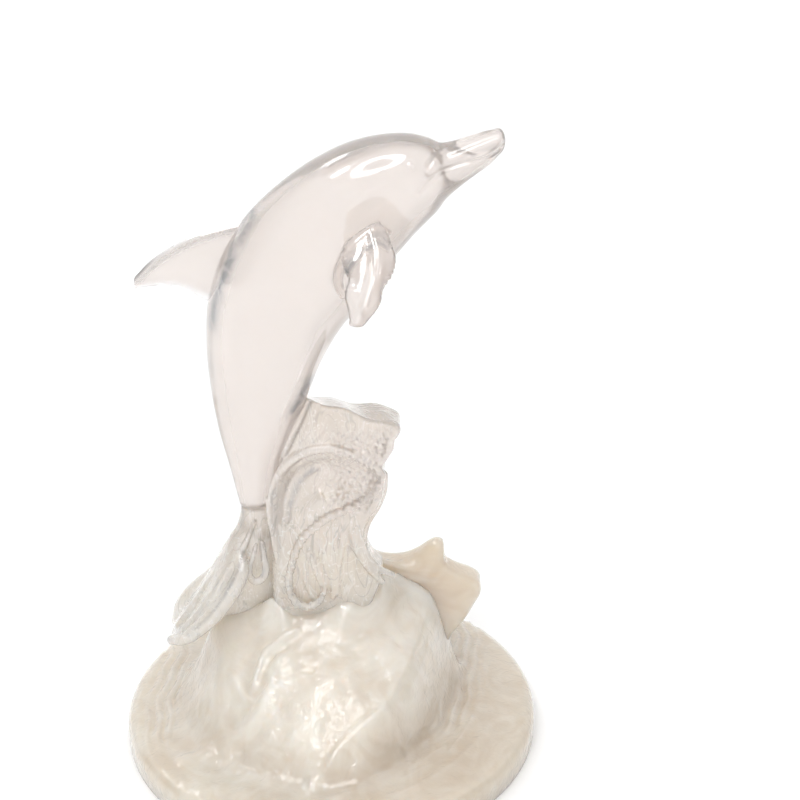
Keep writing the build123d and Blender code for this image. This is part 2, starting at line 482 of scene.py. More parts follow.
def mix_colour(tree, factor, first, second):
    """A colour that goes from the first to the second with the factor."""
    made = node(tree, "ShaderNodeMix", data_type="RGBA")
    for index, value in ((0, factor), (6, first), (7, second)):
        feed(tree, made.inputs[index], value)
    return made.outputs[2]


def spread(tree, value, start, end):
    """0 where the value is at start or before it, 1 at end or beyond."""
    return node(tree, "ShaderNodeMapRange", Value=value, From_Min=start, From_Max=end).outputs["Result"]


def combine(tree, operation, first, second=0.0):
    """Arithmetic on two values, or on the first alone."""
    made = node(tree, "ShaderNodeMath", operation=operation)
    feed(tree, made.inputs[0], first)
    feed(tree, made.inputs[1], second)
    return made.outputs[0]


CLEAR_TINTS = ((0.83, 0.77, 0.735, 1), (0.81, 0.75, 0.71, 1))
MILKY_TINT = (0.89, 0.85, 0.775, 1)
HONEY_TINT = (0.62, 0.52, 0.41, 1)
# white of the painted highlights, glints and bright refraction lines
HIGHLIGHT_TINT = (1.0, 0.99, 0.97, 1)
# grey of the painted shade and of the painted dark refraction lines
PAINTED_SHADE_TINT = (0.23, 0.25, 0.27, 1)
WINDOW_TINT = (0.9, 0.88, 0.86, 1)  # of the light that a shadow lets through
GLASS_IOR, COAT_IOR = 1.52, 1.75
COAT_ROUGHNESS = 0.03
PAPER_TINT, PAPER_ROUGHNESS = (0.93, 0.93, 0.93, 1), 0.9
SUBSURFACE_RADIUS, SUBSURFACE_SCALE = (1.0, 0.85, 0.7), 0.015

# For clear crystal and for satin
TRANSMISSION = (0.78, 0.2)
SUBSURFACE = (0.3, 0.8)
COAT = (0.6, 1.0)
SPECULAR = (0.5, 0.04)
SHADOW_SHARE = (0.85, 0.25)  # how much of the light a shadow lets through

# Roughness between the low and the high places of the grain
CLEAR_ROUGHNESS = (0.0, 0.04)
SATIN_ROUGHNESS = (0.30, 0.46)

PATTERNS = {  # noise: scale per metre, detail, distortion
    "clouds": (48, 3, 1.6), "veins": (80, 1.5, 3.0), "grain": (1100, 3, 0), "waves": (140, 2, 0),
    "wisps": (260, 2, 1.5), "strands": (400, 2, 1.2), "glints": (420, 2, 1.2), "specks": (1300, 1, 1.0),
    # dark lines, white lines and specks are painted light: grey refraction lines, white refraction streaks
    # and glints
    "dark lines": (130, 1.5, 3.0), "white lines": (170, 1.5, 2.2),
}
CLOUD_RANGE, VEIN_RANGE = (0.36, 0.66), (0.42, 0.62)  # where a pattern goes from 0 to 1
WISP_RANGE, PAINTED_GLINT_RANGE = (0.28, 0.55), (0.64, 0.72)
CLOUD_SHARE, VEIN_SHARE = 0.30, 0.14  # how far clouds and veins of the satin go towards honey
PAINTED_DARK_LINES, PAINTED_WHITE_LINES, PAINTED_GLINTS = 1.5, 2.2, 3.2  # strengths of the painted dark lines, painted white lines and painted glints, times frost * (1 - frost)
LINE_WIDTH = 0.022
FALL_STRETCH = 0.3  # strands of half-frosted water run down: their pattern is drawn out along z
FALL_RELIEF = 1.3  # heights of the patterns in millimetres; this one times frost * (1 - frost)
WAVE_RELIEF = 0.02
GRAIN_RELIEF = 0.05
GLINT_RELIEF = 0.36
SPARKLE_RELIEF = (0.02, 0.8)  # where frost * (1 - frost) is 0, and where it would be 1


def noise(tree, place, pattern):
    """One of the patterns, between 0 and 1."""
    scale, detail, distortion = PATTERNS[pattern]
    made = node(tree, "ShaderNodeTexNoise", Vector=place, Scale=scale, Detail=detail, Distortion=distortion)
    return made.outputs["Fac"]


def contours(tree, pattern):
    """Thin wandering lines, 1 along them and 0 between, where a pattern crosses its middle."""
    aside = combine(tree, "ABSOLUTE", combine(tree, "SUBTRACT", pattern, 0.5))
    return spread(tree, aside, LINE_WIDTH, 0.0)


def relief(tree, height):
    """The normal of a surface with a relief whose height is in millimetres."""
    return node(tree, "ShaderNodeBump", Height=height, Strength=1.0, Distance=MM).outputs["Normal"]


def crystal_material(name, ghostless=False):
    """Crystal that turns from clear to satin with the mesh's frost, with painted shade and painted
    highlights in its colour.

    A ghostless one is left out for rays that have gone through more than one surface of glass, where its
    tint would show double, and for rays that have bounced off something matt.
    """
    material = bpy.data.materials.new(name)
    material.use_nodes = True
    tree = material.node_tree
    tree.nodes.clear()
    place = node(tree, "ShaderNodeTexCoord").outputs["Object"]
    frost, warmth, painted_shade = (
        node(tree, "ShaderNodeAttribute", attribute_name=label).outputs["Fac"]
        for label in ("frost", "warmth", "painted_shade")
    )

    clouds = noise(tree, place, "clouds")
    grain = noise(tree, place, "grain")
    cloudy = combine(tree, "MULTIPLY", spread(tree, clouds, *CLOUD_RANGE), CLOUD_SHARE)
    veined = spread(tree, noise(tree, place, "veins"), *VEIN_RANGE)
    veined = combine(tree, "MULTIPLY", veined, VEIN_SHARE)
    honey = combine(tree, "ADD", combine(tree, "ADD", cloudy, veined), warmth)
    satin_colour = mix_colour(tree, honey, MILKY_TINT, HONEY_TINT)
    clear_colour = mix_colour(tree, warmth, mix_colour(tree, clouds, *CLEAR_TINTS), HONEY_TINT)
    colour = mix_colour(tree, frost, clear_colour, satin_colour)
    # Painted shade: the seams, grooves and dents marked on the mesh go grey, broken up by wisps
    wisps = spread(tree, noise(tree, place, "wisps"), *WISP_RANGE)
    colour = mix_colour(tree, combine(tree, "MULTIPLY", painted_shade, wisps), colour, PAINTED_SHADE_TINT)

    falling = node(tree, "ShaderNodeMapping", Vector=place, Scale=(1.0, 1.0, FALL_STRETCH))
    falling = falling.outputs["Vector"]
    half_frost = combine(tree, "MULTIPLY", frost, combine(tree, "SUBTRACT", 1.0, frost))
    # Painted light on half-frosted glass: grey lines of painted refraction shade, white lines of painted
    # refraction light, white specks of painted glints
    patterns = (
        (contours(tree, noise(tree, falling, "dark lines")), PAINTED_DARK_LINES, PAINTED_SHADE_TINT),
        (contours(tree, noise(tree, falling, "white lines")), PAINTED_WHITE_LINES, HIGHLIGHT_TINT),
        (spread(tree, noise(tree, place, "specks"), *PAINTED_GLINT_RANGE), PAINTED_GLINTS, HIGHLIGHT_TINT),
    )
    for pattern, amount, tint in patterns:
        pattern = combine(tree, "MULTIPLY", pattern, mix_value(tree, half_frost, 0, amount))
        colour = mix_colour(tree, pattern, colour, tint)

    clear_roughness = mix_value(tree, grain, *CLEAR_ROUGHNESS)
    satin_roughness = mix_value(tree, grain, *SATIN_ROUGHNESS)
    roughness = mix_value(tree, combine(tree, "POWER", frost, 2.0), clear_roughness, satin_roughness)
    strands = noise(tree, falling, "strands")
    falls = combine(tree, "MULTIPLY", strands, mix_value(tree, half_frost, 0, FALL_RELIEF))
    wavy = combine(tree, "MULTIPLY", noise(tree, place, "waves"), WAVE_RELIEF)
    grainy = combine(tree, "MULTIPLY", grain, GRAIN_RELIEF)
    bump = relief(tree, combine(tree, "ADD", mix_value(tree, frost, wavy, grainy), falls))
    sparkle = combine(tree, "MULTIPLY", grain, mix_value(tree, half_frost, *SPARKLE_RELIEF))
    glints = noise(tree, place, "glints")
    glints = combine(tree, "MULTIPLY", glints, mix_value(tree, frost, 0, GLINT_RELIEF))
    coat_bump = relief(tree, combine(tree, "ADD", combine(tree, "ADD", sparkle, glints), falls))
    shader = node(
        tree, "ShaderNodeBsdfPrincipled", Base_Color=colour, Roughness=roughness, IOR=GLASS_IOR, Normal=bump,
        Transmission_Weight=mix_value(tree, frost, *TRANSMISSION),
        Subsurface_Weight=mix_value(tree, frost, *SUBSURFACE), Subsurface_Scale=SUBSURFACE_SCALE,
        Subsurface_Radius=SUBSURFACE_RADIUS, Coat_Weight=mix_value(tree, frost, *COAT),
        Coat_Roughness=COAT_ROUGHNESS, Coat_IOR=COAT_IOR, Coat_Normal=coat_bump,
        Specular_IOR_Level=mix_value(tree, frost, *SPECULAR),
    )

    window = node(tree, "ShaderNodeBsdfTransparent", Color=WINDOW_TINT)
    ray = node(tree, "ShaderNodeLightPath").outputs
    share = combine(tree, "MULTIPLY", ray["Is Shadow Ray"], mix_value(tree, frost, *SHADOW_SHARE))
    if ghostless:
        for count, most in (("Transmission Depth", 1.5), ("Diffuse Depth", 0.5)):
            share = combine(tree, "MAXIMUM", share, combine(tree, "GREATER_THAN", ray[count], most))
    blend = node(tree, "ShaderNodeMixShader")
    for index, value in enumerate((share, shader.outputs[0], window.outputs[0])):
        feed(tree, blend.inputs[index], value)
    node(tree, "ShaderNodeOutputMaterial", Surface=blend.outputs[0])
    return material


def paper_material():
    """Matt white studio paper."""
    material = bpy.data.materials.new("floor")
    material.use_nodes = True
    shader = material.node_tree.nodes["Principled BSDF"]
    shader.inputs["Base Color"].default_value = PAPER_TINT
    shader.inputs["Roughness"].default_value = PAPER_ROUGHNESS
    shader.inputs["Specular IOR Level"].default_value = 0.0
    return material


crystal = crystal_material("crystal")
thin_crystal = crystal_material("thin_crystal", ghostless=True)


# ------------------------------------------------------------
# Dolphin

def make_body():
    vertices, faces = loft(BODY_STATIONS, BODY_RINGS, BODY_AROUND, TAIL_ROUNDING, BEAK_ROUNDING)
    flat = vertices[:, [0, 2]]
    to_mouth = path_distance(flat, spline(MOUTH, 60, slice(0, 2)))
    to_crease = path_distance(flat, spline(CREASE, 30, slice(0, 2)))
    to_eye = np.linalg.norm(flat - np.array(EYE), axis=1)
    inward = np.sign(vertices[:, 1])
    vertices[:, 1] -= inward * MOUTH_DEPTH * np.exp(-((to_mouth / MOUTH_WIDTH) ** 2))
    vertices[:, 1] -= inward * CREASE_DEPTH * np.exp(-((to_crease / CREASE_WIDTH) ** 2))
    lid = np.exp(-(((to_eye - LID_RADIUS) / LID_WIDTH) ** 2))
    vertices[:, 1] += inward * EYE_HEIGHT * (np.exp(-((to_eye / EYE_RADIUS) ** 4)) - LID_DEPTH * lid)
    # painted shade along the seams of the fin and the crest
    fin_seam_shade = line_on(vertices, FIN_SEAM, FIN_SEAM_WIDTH)
    painted_shade = np.maximum(fin_seam_shade, line_on(vertices, CREST_SEAM, CREST_SEAM_WIDTH))
    new_piece("dolphin_body", vertices, faces, crystal, painted_shade=painted_shade)


def make_fin():
    vertices, faces = loft(FIN_STATIONS, FIN_RINGS, FIN_AROUND, FIN_ROOT_ROUNDING, FIN_TIP_ROUNDING)
    # Painted shade: a grey band just inside the leading edge
    leading = spline([row[:2] for row in FIN_STATIONS], 40, slice(0, 2))
    inside = path_distance(vertices[:, [0, 2]], leading)
    painted_shade = FIN_LINE_SHADE * np.exp(-(((inside - FIN_LINE_INSET) / FIN_LINE_WIDTH) ** 2))
    new_piece("dorsal_fin", vertices, faces, thin_crystal, painted_shade=painted_shade)


def flipper_field():
    """Distance to the right flipper, which stops at the trunk's skin."""
    blade, spine, rim = limb(FLIPPER_BLADE), limb(FLIPPER_SPINE), limb(FLIPPER_RIM)
    s = np.array(BODY_STATIONS)
    middles, halves = (s[:, 0:2] + s[:, 2:4]) / 2, (s[:, 0:2] - s[:, 2:4]) / 2
    none = np.zeros(len(s))
    columns = [middles[:, 0], none, middles[:, 1], halves[:, 0], none, halves[:, 1], s[:, 4]]
    trunk = limb(np.stack(columns, 1), 60)
    spine_blend, rim_blend, cut_blend = FLIPPER_BLENDS

    def field(points):
        d = melt(melt(blade(points), spine(points), spine_blend), rim(points), rim_blend)
        return carve(d, trunk(points) - FLIPPER_GAP, cut_blend)

    return field


def make_flippers():
    """The right flipper, and its mirror image as the left one."""
    low, high = node_box("right_flipper")
    below, above = FLIPPER_MARGINS
    vertices, faces = sculpt(flipper_field(), low - below, high + above, FLIPPER_CELL)
    # painted shade along that groove
    painted_shade = FLIPPER_SEAM_SHADE * line_on(vertices, FLIPPER_SEAM, FLIPPER_SEAM_WIDTH)
    new_piece("right_flipper", vertices, faces, thin_crystal, painted_shade=painted_shade)
    vertices = vertices * np.array([1, -1, 1])
    faces = [face[::-1] for face in faces]
    new_piece("left_flipper", vertices, faces, thin_crystal, painted_shade=painted_shade)


STOCK = [  # the tail's stem: x, y, z, half width vector x, y, z, half thickness
    (-17.2, 0, 63, 3.3, 0, 0.1, 2.9),
    (-17, 0, 59, 3.8, 0, 0, 3.3),
    (-17.4, 0, 54, 4.9, 0, 0, 3.8),
    (-18.4, 0, 48.5, 6.6, 0, 0, 4.3),
    (-19.8, 0, 43, 8, 0, 0, 3.8),
    (-20.5, 0, 39, 8.4, 0, 0, 3.2),
    (-21, 0, 33.5, 8.4, 0, 0, 3.2),
]
STOCK_TOP = 61.3
FLUKE_PLATE = [  # the two flukes together, across the tail from the right tip to the left one
    (-20.4, -0.4, 51, 0.2, 5, 0.2, 2.4),
    (-24.2, -0.8, 45, 0, 7.6, -0.6, 2.4),
    (-29, -1.4, 37.8, -0.4, 10, -0.8, 2.2),
    (-33.2, -1.8, 32.4, -0.8, 11, -1.4, 2),
    (-36.4, -2, 29, -1, 11.2, -2.4, 1.6),
    (-37.8, -2, 27, -1, 11, -3, 1.1),
]
FLUKE_ROLL = [  # x, y, z, radius of the thick near edge
    (-20.6, -5.6, 50.4, 1.3),
    (-20.2, -7.4, 47.8, 1.7),
    (-21.8, -9, 44.2, 1.9),
    (-24, -10.5, 41.2, 1.9),
    (-27, -11.6, 37.8, 1.9),
    (-30.6, -12.5, 34.6, 1.8),
    (-34.4, -13, 32.2, 1.5),
    (-37, -12.6, 31.8, 1.1),
]
FLUKE_RIDGES = [  # thin ridges that run down the plate between the near edge and the far fluke
    [(-17.2, -3.6, 58.6, 0.5), (-19.4, -4.8, 53.4, 0.7), (-21.6, -5.8, 49.4, 0.8), (-24, -6.8, 45.8, 0.8),
     (-26.6, -7.8, 42.2, 0.8), (-30.6, -9.2, 37.4, 0.8), (-34.6, -10.6, 33.6, 0.6)],
    [(-21.4, -1.4, 52.6, 0.7), (-24.4, -2.2, 47.4, 1.1), (-28.8, -3.4, 41.2, 1.2), (-33, -4.8, 35.8, 1.1),
     (-36.4, -6.2, 31.6, 0.8)],
]
FLUKE_GROOVE = [  # x and z of the groove beside the thick near edge, greyed with painted shade
    (-19.9, 51.8), (-21, 48.4), (-22.9, 45), (-25.3, 41.7), (-28.8, 37.6), (-32.6, 34.4),
]
FAR_FLUKE = [  # x, y, z, radius
    (-25.5, 5, 41.5, 2), (-30.2, 7, 36.2, 2.4), (-34.2, 8, 31.6, 2.7), (-37.2, 8.4, 27.4, 2.4),
    (-38.6, 8.4, 23.8, 1.7),
]
DRIP = [
    (-15.5, -4.6, 53.4, 0.7), (-15.1, -5.2, 49.4, 0.8), (-14.7, -5.8, 46.7, 0.9), (-15.7, -6.2, 44.6, 0.9),
    (-17.2, -6.4, 44, 0.9), (-18.5, -6.2, 45.2, 0.8), (-18.5, -5.8, 47.6, 0.7), (-17.6, -5.2, 50.2, 0.6),
    (-16.9, -4.8, 53, 0.5),
]


MARGIN = 4  # how far the other sculpting boxes go past the CAD's
TAIL_CELL = 0.36
GROOVE_WIDTH, GROOVE_SHADE = 0.45, 0.55


def make_tail():
    stock = limb(STOCK)
    # The limbs that melt into the stock one after the other, each with its blend
    parts = [(limb(FLUKE_PLATE), 3.0), (limb(FAR_FLUKE), 1.5), (limb(FLUKE_ROLL), 0.6)]
    parts += [(limb(path), 0.5) for path in FLUKE_RIDGES]
    parts.append((limb(DRIP), 0.4))

    def field(points):
        d = stock(points)
        for part, blend in parts:
            d = melt(d, part(points), blend)
        return carve(d, STOCK_TOP - points[:, 2], 0.6)

    low, high = node_box("tail_flukes")
    vertices, faces = sculpt(field, low - MARGIN, high + MARGIN, TAIL_CELL)
    frost = 0.3 + 0.4 * ramp(vertices[:, 2], 58, 40)
    warmth = 0.15 * ramp(vertices[:, 2], 54, 60)
    # painted shade along the groove
    painted_shade = GROOVE_SHADE * line_on(vertices, FLUKE_GROOVE, GROOVE_WIDTH)
    new_piece("tail_flukes", vertices, faces, crystal, frost, warmth, painted_shade)


# ------------------------------------------------------------
# Water

CREST_OUTLINE = [
    (-3.2, 96), (3.6, 95), (9.9, 93), (14, 90.5), (16.6, 87.5), (17.3, 84.6), (17.1, 82.6),
    (16, 80.9), (15.6, 78.4), (14.1, 75.9), (13, 73.3), (13.5, 70.6), (13.3, 67.8), (11.9, 63.4),
    (9.8, 60.2), (8.9, 57.4), (8.7, 53.6), (9.2, 50), (10.6, 47), (12.8, 44.5), (11.8, 41),
    (10, 36), (8.6, 30.5), (2, 30), (-6, 30), (-12.6, 30.5), (-13.3, 36), (-13.5, 45),
    (-12.8, 53), (-12.6, 58.7), (-13.2, 62.8), (-13.1, 66.7), (-11.7, 71.9), (-9.8, 77), (-7.6, 83),
    (-5, 88.6), (-3.8, 91.6),
]
CREST_FACE = 8.0  # how far the crest's near side stands in front of the middle plane
CREST_DRAW = 1.4  # and how far it draws back at its foot
CREST_FAR = 6.6
CREST_ROOT = 14.0  # how far its sculpting box goes under its CAD solid, for the root in the mound
CREST_ROOM = 8.0  # and how far past it to the right, to the back and above
CREST_CELL = 0.36
CREST_TOP = 91.0  # height of the top's near edge over the origin, and its fall per millimetre of x
CREST_FALL = 0.37
ARCH = [  # x, y, z, radius of the smooth band over the hollow
    (-12.2, -6.8, 61, 0.8), (-12.5, -7.2, 65.5, 0.9), (-12.3, -7.3, 68.4, 1), (-11.1, -7.4, 72, 1.1),
    (-8.9, -7.6, 75.6, 1.2), (-6.3, -7.8, 78, 1.2), (-3.1, -7.9, 79.5, 1.2), (0.5, -7.9, 80, 1.2),
    (4.1, -7.9, 79.4, 1.2), (7.7, -7.8, 77.7, 1.2), (10.9, -7.6, 75.4, 1.1), (12.8, -7.4, 72.9, 1),
]
LIP = [  # the rope-like lower lip of the hollow, down to the drop at its end
    (12.8, -7.8, 72.9, 0.8), (12, -8.2, 70.2, 0.9), (9.7, -8.4, 67.6, 1), (6.4, -8.5, 65.5, 1),
    (3.2, -8.6, 63.9, 1), (-0.1, -8.6, 62.1, 1), (-2.9, -8.5, 59.7, 1), (-5.3, -8.2, 57.2, 1),
    (-7.2, -7.8, 53.4, 0.9), (-8.6, -7.6, 48.5, 0.9), (-9.3, -7.6, 44.1, 0.9), (-8.7, -7.8, 40.7, 0.9),
    (-6.8, -8, 38.5, 0.9), (-4.3, -8, 38.1, 0.9), (-2.2, -7.8, 39.4, 0.8), (-0.9, -7.4, 41.9, 0.6),
]
LIP_TWIST = 0.22  # depth of the lip's twisted strands
HOLLOW = [
    (-8.4, -9.6, 61, 2.6), (-7.2, -10.4, 66, 4.4), (-3.4, -11.2, 71, 6.2), (2.6, -11.4, 72.2, 6.4),
    (8.4, -11, 72.4, 4.2),
]
HOLLOW_FOLD = [
    (-2.6, -5.2, 73.6, 0.7), (-5.2, -5.2, 71.6, 0.8), (-7, -5.6, 68.6, 0.8), (-8.4, -6.4, 65, 0.8),
    (-9.3, -7, 61, 0.7),
]
FALLS = [  # thin streams of water under the lip and down the crest's flanks
    [(4.5, -8, 63.2, 0.6), (3.7, -7.7, 55.9, 0.7), (2.3, -7.1, 47, 0.6), (2, -6.8, 41, 0.5)],
    [(2.2, -8, 61.6, 0.5), (1.6, -7.6, 54.3, 0.7), (1.1, -6.8, 45.8, 0.6), (1, -6.8, 40, 0.5)],
    [(5.9, -7.9, 64, 0.6), (5.9, -7.9, 58.8, 0.8), (6.9, -7.5, 53.4, 0.8), (9.4, -6.9, 48.4, 0.8),
     (12.8, -5.8, 43.6, 0.7)],
    [(7.8, -7.2, 65.2, 0.7), (7.5, -7.1, 59, 0.9), (8.2, -6.7, 53.5, 0.9), (10.8, -6.1, 48.4, 0.9),
     (15.2, -3.7, 44.2, 0.7)],
    [(13, -2.4, 70.2, 1.2), (12.6, -3, 67.2, 1.5), (11, -3.8, 63, 1.5), (9, -4.3, 59.2, 1.3),
     (8.2, -4.7, 54.6, 1.1), (9.2, -4.6, 50, 1), (12, -3.5, 46.2, 0.8)],
    [(-2.1, -7.7, 55.8, 0.5), (-0.9, -7.2, 50.7, 0.6), (-0.1, -6.7, 45.7, 0.6), (-1.2, -6.7, 41.1, 0.5)],
    [(-0.2, -7.7, 56.4, 0.5), (0.3, -7.3, 52, 0.5), (0.5, -7.2, 48, 0.4)],
    [(-3.9, -7.4, 52, 0.5), (-2.9, -7, 47.6, 0.6), (-1.6, -6.8, 43.6, 0.5)],
    [(-5.4, -6.9, 49.5, 0.5), (-5.1, -6.7, 43.9, 0.6), (-3.8, -6.7, 40, 0.5)],
    [(-13.2, -6.2, 66.2, 0.9), (-12.8, -6.4, 62.3, 1.2), (-12.2, -6.4, 58.1, 1.3),
     (-11.8, -6.4, 54.1, 1.2), (-11.6, -6.3, 49.6, 0.6)],
    [(-3.6, -7.5, 91, 0.5), (-5.5, -7.5, 86.7, 0.8), (-7.4, -7.5, 82.7, 0.8), (-9.4, -7.4, 78, 0.7)],
    [(-1.3, -7.7, 90.6, 0.4), (-2.5, -7.8, 86.9, 0.6), (-4.9, -7.9, 82.4, 0.5)],
    [(0.9, -7.7, 88.9, 0.4), (-0.1, -7.8, 85.4, 0.6), (-2.9, -7.9, 81.9, 0.5)],
]
HAMMER_LOW, HAMMER_HIGH = (-1.0, 61.0), (16.5, 86.0)  # x and z where the crest's face is hammered
HAMMER_DEPTH = 0.5

REAR_OUTLINE = [
    (6, 47), (8.4, 44.9), (11.2, 42), (14.3, 41.1), (18.4, 41.5), (21.7, 43.2), (24.2, 45.3),
    (25.8, 46.2), (27.4, 45.8), (27.9, 43.5), (28.2, 40.6), (30.8, 38.5), (34.9, 36.6), (36.9, 34.9),
    (37.1, 33), (35.5, 29.7), (33, 25.4), (29.6, 21), (27.8, 15), (26.4, 9.4), (19, 9),
    (11.5, 9), (4.6, 9.4), (4, 16), (4.2, 24), (4.6, 32), (5.2, 40),
]
REAR_MIDDLE = 10.5  # its middle in depth
REAR_HALF, REAR_SPREAD, REAR_TOP = 2.2, 0.17, 46  # half its depth at the top, and how that grows downwards
REAR_CELL = 0.5
REAR_WARMTH = 0.72
REAR_RIDGES = [  # long soft folds on the rear wave's near face
    [(8.6, 7.6, 44, 0.7), (13.5, 7.4, 41, 0.9), (19, 7.5, 39.6, 0.9), (26, 7.8, 38.6, 0.6)],
    [(8.6, 7, 41, 0.7), (15, 6.9, 38, 0.9), (22, 7.1, 36.6, 0.9), (30, 7.6, 35.4, 0.6)],
]


def outline_distance(outline):
    """Signed distance in the XZ plane to a closed outline with straight sides between its points."""
    corners = np.array(outline, float)

    def distance(points):
        p = points[:, [0, 2]]
        best = np.full(len(p), FAR_OFF)
        odd = np.zeros(len(p), bool)
        for a, b in zip(corners, np.roll(corners, -1, axis=0)):
            ab = b - a
            t = np.clip(((p - a) @ ab) / (ab @ ab), 0, 1)
            best = np.minimum(best, ((p - a - t[:, None] * ab) ** 2).sum(1))
            spans = (a[1] > p[:, 1]) != (b[1] > p[:, 1])
            cross_x = a[0] + (p[:, 1] - a[1]) / (b[1] - a[1] if b[1] != a[1] else 1e-9) * ab[0]
            odd ^= spans & (p[:, 0] < cross_x)
        return np.where(odd, -1, 1) * np.sqrt(best)

    return distance


def smooth_outline(points):
    """A closed, rounded version of an outline."""
    lap = 3
    closed = list(points[-lap:]) + list(points) + list(points[:lap])
    rows = spline(closed, 4 * len(closed), slice(0, 2))
    return rows[4 * lap:-4 * lap]


def hammer(points):
    """Dents of hand-worked glass, between -1 and 1, about two millimetres apart."""
    x, z = points[:, 0], points[:, 2]
    a = np.sin(2.9 * x + 0.9 * z + 1.3 * np.sin(1.1 * z)) * np.sin(2.3 * z - 0.8 * x + 1.1 * np.sin(0.9 * x))
    b = np.sin(4.7 * x - 2.1 * z + 0.7) * np.sin(3.9 * z + 2.6 * x + 1.9)
    return 0.65 * a + 0.35 * b


def crest_patch(points):
    """How hammered the crest is at each point, from 0 to 1."""
    x, y, z = points.T
    over = ramp(x, HAMMER_LOW[0], HAMMER_LOW[0] + 5) * ramp(z, HAMMER_LOW[1], HAMMER_LOW[1] + 6)
    over = over * ramp(x, HAMMER_HIGH[0], HAMMER_HIGH[0] - 3)
    return over * ramp(z, HAMMER_HIGH[1], HAMMER_HIGH[1] - 4) * ramp(y, -1, -5)


def make_crest():
    outline = outline_distance(smooth_outline(CREST_OUTLINE))
    arch, lip, hollow, fold = limb(ARCH), limb(LIP, 48), limb(HOLLOW), limb(HOLLOW_FOLD)
    falls = [limb(path) for path in FALLS]

    def field(points):
        x, y, z = points.T
        face = CREST_FACE - CREST_DRAW * ramp(z, 62, 42)
        slope = -0.37 + 0.0165 * np.clip(x + 1.6, 0, 18)
        level = CREST_TOP - CREST_FALL * x + slope * (y + CREST_FACE) + 0.4 * np.sin(0.6 * x + 0.2 * y)
        top = (z - level) * 0.85
        d = np.maximum(-face - y, y - CREST_FAR)
        edge = outline(points)
        d = -melt(-edge, -d, 3.2)
        d = -melt(-d, -top, 1.4)
        d = carve(d, hollow(points), 1.2)
        d = melt(d, fold(points), 1.0)
        d = melt(d, arch(points), 0.5)
        strands = LIP_TWIST * np.sin(2.6 * (x + z) + 2.2 * y) * np.sin(1.7 * (x - z))
        d = melt(d, lip(points) + strands, 0.35)
        for fall in falls:
            d = melt(d, fall(points), 0.7)
        return d + HAMMER_DEPTH * hammer(points) * crest_patch(points) * ramp(edge, -0.8, -2.6)

    low, high = node_box("wave_crest")
    low = low - np.array([MARGIN, MARGIN, CREST_ROOT])
    vertices, faces = sculpt(field, low, high + CREST_ROOM, CREST_CELL)
    x, z = vertices[:, 0], vertices[:, 2]
    scattered = 0.5 + 0.5 * np.sin(1.1 * x + 0.5 * z) * np.sin(0.8 * z - 0.6 * x)
    patch = crest_patch(vertices)
    frost = 0.2 + 0.5 * ramp(z, 68, 44) + 0.3 * ramp(z, 38, 35) - 0.1 * patch
    warmth = 0.16 + 0.3 * ramp(z, 78, 90)
    # Painted shade: grey mottles in the hammered dents and a grey line along the hollow's fold, where
    # refraction darkens the glass
    dent_shade = 0.6 * patch * ramp(hammer(vertices), 0.0, 0.8) * scattered
    crease_shade = line_on(vertices, [(row[0], row[2]) for row in HOLLOW_FOLD], 0.7)
    painted_shade = np.maximum(dent_shade, 0.55 * crease_shade)
    new_piece("wave_crest", vertices, faces, crystal, frost, warmth, painted_shade)


def make_rear_wave():
    outline = outline_distance(smooth_outline(REAR_OUTLINE))
    ridges = [limb(path) for path in REAR_RIDGES]

    def field(points):
        half = REAR_HALF + REAR_SPREAD * np.maximum(REAR_TOP - points[:, 2], 0)
        slab = np.abs(points[:, 1] - REAR_MIDDLE) - half
        d = -melt(-outline(points), -slab, 2.0)
        for ridge in ridges:
            d = melt(d, ridge(points), 1.2)
        return d

    low, high = node_box("rear_wave")
    vertices, faces = sculpt(field, low - MARGIN, high + MARGIN, REAR_CELL)
    new_piece("rear_wave", vertices, faces, crystal, 1.0, REAR_WARMTH)


